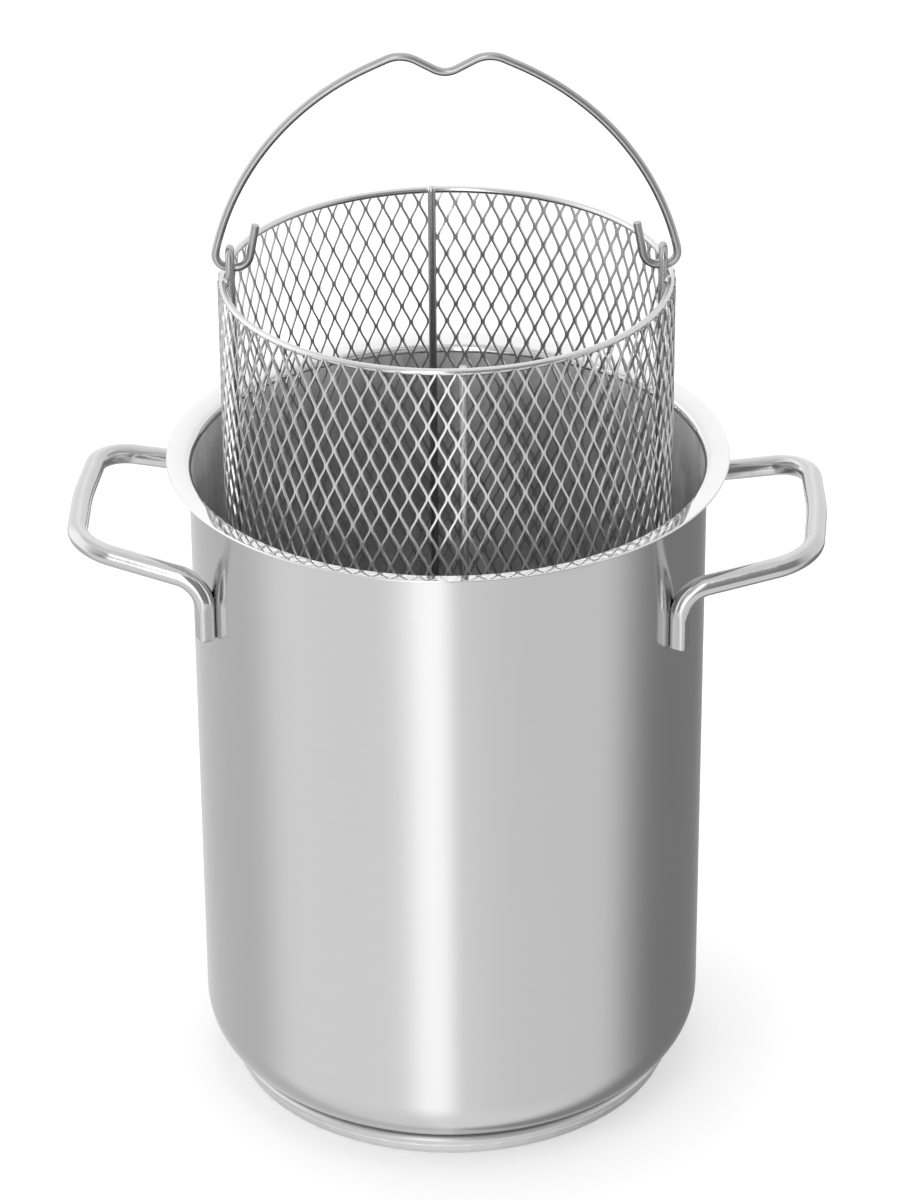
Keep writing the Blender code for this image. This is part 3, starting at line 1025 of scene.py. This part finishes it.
class ASPARAGUS_OT_rings(bpy.types.Operator):
    """Spin the rings at the top and bottom of the basket and set the top one's weld beads"""

    bl_idname = "asparagus.rings"
    bl_label = "Basket rings"

    def execute(self, context):
        basket = context.scene.asparagus_basket
        colours = context.scene.asparagus_colours
        finish = wire_steel(colours, "ring_steel", darker=1.15, roughness=0.18)
        radius = basket.sheet_radius - basket.ring_inset
        for name, node, height, sides, steps in (
            ("top_ring", "basket_top_ring", RING_HEIGHT, 20, 180),
            ("bottom_ring", "basket_bottom_ring", BOTTOM_RING_HEIGHT, 16, 150),
        ):
            piece = ring(name, radius, height, basket.ring_wire, sides, steps)
            dress(piece, "basket", "ring_steel", finish, node)
        welds = ring_welds(radius)
        turn_about_z(welds, BASKET_TURN)
        dress(welds, "basket", "ring_steel", finish)
        return {"FINISHED"}


class ASPARAGUS_OT_frames(bpy.types.Operator):
    """Bend the two wires inside the basket: the cross frame and the one with the eyes"""

    bl_idname = "asparagus.frames"
    bl_label = "Basket frames"

    def execute(self, context):
        basket = context.scene.asparagus_basket
        colours = context.scene.asparagus_colours
        finish = wire_steel(colours, "frame_steel", darker=0.80, roughness=0.26)
        wire = basket.frame_wire
        reach = 65.45 * MM
        bend = 6 * MM
        over_floor = 0.3 * MM
        lower_run = FLOOR_HIGH.z + over_floor + wire
        upper_run = lower_run + 2.8 * MM

        top = RING_HEIGHT + 0.5 * basket.ring_wire
        corners = [(0, -reach, top), (0, -reach, lower_run), (0, reach, lower_run), (0, reach, top)]
        cross = bent_wire("cross_wire", corners, [bend, bend], wire, sides=20, chord=0.8 * MM)
        close_up(cross)
        turn_about_z(cross, BASKET_TURN + CROSS_TURN)
        dress(cross, "basket", "frame_steel", finish, "cross_frame")

        out = math.sqrt(reach ** 2 - EYE_HALF ** 2)
        eye_top = RING_HEIGHT + 9.65 * MM
        short_end = RING_HEIGHT - 3.4 * MM
        left = [
            (-out, -EYE_HALF, short_end),
            (-out, -EYE_HALF, eye_top),
            (-out, EYE_HALF, eye_top),
            (-out, EYE_HALF, upper_run),
        ]
        corners = left + [(-x, y, z) for x, y, z in reversed(left)]
        radii = [EYE_HALF, EYE_HALF, bend, bend, EYE_HALF, EYE_HALF]
        eyes = bent_wire("eye_wire", corners, radii, wire, sides=20, chord=0.5 * MM)
        close_up(eyes)
        turn_about_z(eyes, BASKET_TURN)
        dress(eyes, "basket", "frame_steel", finish, "eye_frame")
        return {"FINISHED"}


# Bail


class ASPARAGUS_OT_bail(bpy.types.Operator):
    """Bend the bail: two hooks, two long shoulders and a notch for a finger"""

    bl_idname = "asparagus.bail"
    bl_label = "Bail"

    def execute(self, context):
        basket = context.scene.asparagus_basket
        colours = context.scene.asparagus_colours
        finish = wire_steel(colours, "bail_steel", darker=0.76, roughness=0.30)
        over_ring = 1.2 * MM
        pivot = RING_HIGH.z + over_ring + basket.bail_wire
        inner, outer = 59.92 * MM, 69.62 * MM
        stub_lean, stub_top = 2.6 * MM, 13.85 * MM
        crook_top = 5.35 * MM
        shoulder_in, shoulder_top = 11.1 * MM, 47.35 * MM
        crest_half, crest_top = 13 * MM, 68.55 * MM
        notch_top = 61.55 * MM
        left = [
            (-inner + stub_lean, 0, pivot + stub_top),
            (-inner, 0, pivot),
            (-outer, 0, pivot),
            (-outer, 0, pivot + crook_top),
            (-outer + shoulder_in, 0, pivot + shoulder_top),
            (-crest_half, 0, pivot + crest_top),
            (0, 0, pivot + notch_top),
        ]
        corners = left + [(-x, y, z) for x, y, z in reversed(left[:-1])]
        hook_bend, crook_bend, shoulder_bend = 4.85 * MM, 10 * MM, 86 * MM
        crest_bend, notch_bend = 10 * MM, 7 * MM
        side_bends = [hook_bend, hook_bend, crook_bend, shoulder_bend, crest_bend]
        radii = side_bends + [notch_bend] + side_bends[::-1]
        piece = bent_wire("bail_wire", corners, radii, basket.bail_wire, sides=20, chord=1.0 * MM)
        close_up(piece)
        turn_about_z(piece, BASKET_TURN)
        dress(piece, "bail", "bail_steel", finish, "bail")
        return {"FINISHED"}


# Studio


def studio_world(azimuth):
    """White to the eye and on what is matt. What shines sees soft cards instead.

    Each layer of cards gives a level of grey by bearing from the camera's, in degrees. One layer gives way
    to the next between two heights, from -1 straight down to 1 straight up.
    """
    world = bpy.data.worlds.new("studio_world")
    bpy.context.scene.world = world
    finish = Finish(world)
    x, y, z = finish.place("Generated")
    bearing = finish.maths("ARCTAN2", x, -1 * y) - azimuth
    share = finish.maths("WRAP", bearing / math.tau + 0.5, 1.0, 0.0)
    low_cards = (
        (-180, 0.80), (-130, 0.66), (-100, 0.68), (-80, 0.90), (-24, 0.98), (-12, 1.10), (0, 1.02),
        (60, 0.95), (80, 0.75), (95, 0.45), (110, 0.30), (150, 0.30), (165, 0.65),
    )
    level_cards = (
        (-180, 0.66), (-165, 0.80), (-148, 0.72), (-123, 0.68), (-104, 0.68), (-96, 0.75), (-89, 0.86),
        (-82, 0.97), (-73, 1.01), (-30, 1.02), (-24, 1.07), (-18, 1.27), (-14, 1.46), (-9, 1.56),
        (-6, 1.56), (-2, 1.46), (2.5, 1.15), (5, 1.03), (16, 0.95), (32, 0.89), (72, 0.86), (80, 0.74),
        (86, 0.59), (92, 0.45), (99, 0.33), (107, 0.27), (120, 0.25), (150, 0.25), (163, 0.32),
        (174, 0.50),
    )
    high_cards = (
        (-180, 1.24), (-172, 1.20), (-164, 1.1), (-150, 1.1), (-125, 1.5), (-80, 1.4), (-62, 0.80),
        (-40, 0.40), (-30, 0.60), (-22, 2.2), (-5, 2.4), (1, 0.45), (10, 0.30), (50, 0.30), (64, 0.60),
        (90, 0.95), (150, 1.0), (168, 1.12), (178, 1.26),
    )
    upper_cards = (
        (-180, 1.24), (-172, 1.20), (-164, 1.1), (-150, 1.1), (-125, 1.5), (-80, 1.4), (-62, 0.90),
        (-40, 0.70), (-20, 0.60), (-14, 3.0), (-6, 3.0), (-1, 0.40), (10, 0.34), (50, 0.34), (64, 0.70),
        (90, 0.95), (150, 1.0), (168, 1.12), (178, 1.26),
    )
    ceiling = ((-180, 1.24), (-160, 1.15), (-140, 0.95), (140, 0.95), (160, 1.15))

    # The ramps keep each level as a share of this, and the world's strength multiplies it again
    brightest = 6.0
    layers = [
        finish.ramp(share, [((angle + 180) / 360, level / brightest) for angle, level in cards])
        for cards in (low_cards, level_cards, high_cards, upper_cards, ceiling)
    ]
    heights = ((-0.85, -0.58), (-0.38, -0.26), (0.12, 0.18), (0.68, 0.80))
    shown = layers[0]
    for layer, (foot, top) in zip(layers[1:], heights):
        blend = finish.ramp(z * 0.5 + 0.5, [(foot / 2 + 0.5, 0.0), (top / 2 + 0.5, 1.0)])
        shown = finish.mix(blend, shown, layer)
    glossy = finish.ray("Is Glossy Ray")
    finish.give("Color", finish.mix(glossy, (*grey(1.0), 1.0), shown))
    finish.give("Strength", 1.0 + (brightest - 1.0) * glossy)


def floor_finish(colour):
    """Matt and pale, and to the camera a little paler still, so that it meets the white beyond it."""
    finish = Finish(bpy.data.materials.new("studio_floor"))
    x, y, z = finish.place()
    grain = finish.noise(x, y, z, scale=6.0)
    finish.give("Base Color", finish.shade(colour, 0.995 + 0.01 * grain))
    finish.give("Roughness", 0.8)
    finish.give("Specular IOR Level", 0.0)
    finish.give("Emission Strength", 1.0)
    finish.give("Emission Color", finish.shade(grey(0.14), finish.ray("Is Camera Ray")))
    return finish.owner


def studio_floor(colour):
    """A round floor: a disc in the middle and two bands round it."""
    inner = 0.5
    bpy.ops.object.select_all(action="DESELECT")
    bpy.ops.mesh.primitive_circle_add(vertices=64, radius=inner)
    floor = begin("studio_floor")
    for share in (3, 4):
        push((0, 0, 0))
        bpy.ops.transform.resize(value=(share, share, 1), center_override=(0, 0, 0))
    choose(floor, "EDGE", lambda edge: edge.is_boundary and middle(edge).length < 2 * inner)
    bpy.ops.mesh.edge_face_add()
    bpy.ops.object.mode_set(mode="OBJECT")
    floor.data.materials.append(floor_finish(colour))
    floor.visible_glossy = False


def area_lamp(name, place, side, radiance):
    """A square soft lamp, turned to the pot, that gives this much light from each point of its face."""
    target = Vector((0, 0, 0.1))
    lamp = bpy.data.lights.new(name, "AREA")
    lamp.shape = "SQUARE"
    lamp.size = side
    lamp.energy = radiance * math.pi * side * side
    item = bpy.data.objects.new(name, lamp)
    bpy.context.scene.collection.objects.link(item)
    item.location = place
    item.rotation_euler = (target - Vector(place)).to_track_quat("-Z", "Y").to_euler()
    item.visible_camera = False
    item.visible_glossy = False


def studio_camera(place):
    """The photographer's camera, aimed at a point near the pot's axis."""
    camera = bpy.data.objects.new("camera", bpy.data.cameras.new("camera"))
    bpy.context.scene.collection.objects.link(camera)
    camera.data.lens = place.lens
    camera.data.sensor_width = 36
    camera.data.clip_start = 0.05
    aside = 0.3 * MM
    target = Vector((aside * math.cos(place.azimuth), aside * math.sin(place.azimuth), place.target_height))
    level = place.distance * math.cos(place.elevation)
    back = Vector((math.sin(place.azimuth), -math.cos(place.azimuth), 0)) * level
    camera.location = target + back + Vector((0, 0, place.distance * math.sin(place.elevation)))
    camera.rotation_euler = (target - camera.location).to_track_quat("-Z", "Y").to_matrix().to_euler()
    camera.rotation_euler.rotate_axis("Z", place.roll)
    bpy.context.scene.camera = camera


class ASPARAGUS_OT_stage(bpy.types.Operator):
    """Set up the pale floor, the lamps, the world with its cards and the camera"""

    bl_idname = "asparagus.stage"
    bl_label = "Studio"

    def execute(self, context):
        place = context.scene.asparagus_camera
        studio_world(place.azimuth)
        studio_floor(context.scene.asparagus_colours.floor)
        area_lamp("key_lamp", (-0.9, -1.1, 1.6), side=0.8, radiance=1.2)
        area_lamp("top_lamp", (-0.1, 0.15, 1.6), side=0.6, radiance=2.5)
        studio_camera(place)
        context.scene.view_settings.view_transform = "Standard"
        return {"FINISHED"}


class ASPARAGUS_PT_panel(bpy.types.Panel):
    """Lists the pieces and the studio, and the sizes and colours that may be changed"""

    bl_idname = "ASPARAGUS_PT_panel"
    bl_label = "Asparagus pot"
    bl_space_type = "VIEW_3D"
    bl_region_type = "UI"
    bl_category = "Asparagus pot"

    def draw(self, context):
        for operator in OPERATORS:
            self.layout.operator(operator.bl_idname)
        for group, kind in GROUPS.items():
            box = self.layout.box()
            settings = getattr(context.scene, group)
            for name in kind.__annotations__:
                box.prop(settings, name)


GROUPS = {
    "asparagus_pot": PotSizes,
    "asparagus_basket": BasketSizes,
    "asparagus_colours": SteelColours,
    "asparagus_camera": CameraPlace,
}
OPERATORS = (
    ASPARAGUS_OT_pot,
    ASPARAGUS_OT_base,
    ASPARAGUS_OT_handles,
    ASPARAGUS_OT_sleeve,
    ASPARAGUS_OT_basket_floor,
    ASPARAGUS_OT_rings,
    ASPARAGUS_OT_frames,
    ASPARAGUS_OT_bail,
    ASPARAGUS_OT_stage,
)


def register():
    for group, kind in GROUPS.items():
        bpy.utils.register_class(kind)
        setattr(bpy.types.Scene, group, PointerProperty(type=kind))
    for operator in OPERATORS:
        bpy.utils.register_class(operator)
    bpy.utils.register_class(ASPARAGUS_PT_panel)


def unregister():
    bpy.utils.unregister_class(ASPARAGUS_PT_panel)
    for operator in reversed(OPERATORS):
        bpy.utils.unregister_class(operator)
    for group, kind in GROUPS.items():
        delattr(bpy.types.Scene, group)
        bpy.utils.unregister_class(kind)


def main():
    register()
    bpy.ops.asparagus.pot()
    bpy.ops.asparagus.base()
    bpy.ops.asparagus.handles()
    bpy.ops.asparagus.sleeve()
    bpy.ops.asparagus.basket_floor()
    bpy.ops.asparagus.rings()
    bpy.ops.asparagus.frames()
    bpy.ops.asparagus.bail()
    bpy.ops.asparagus.stage()


if __name__ == "__main__":
    main()
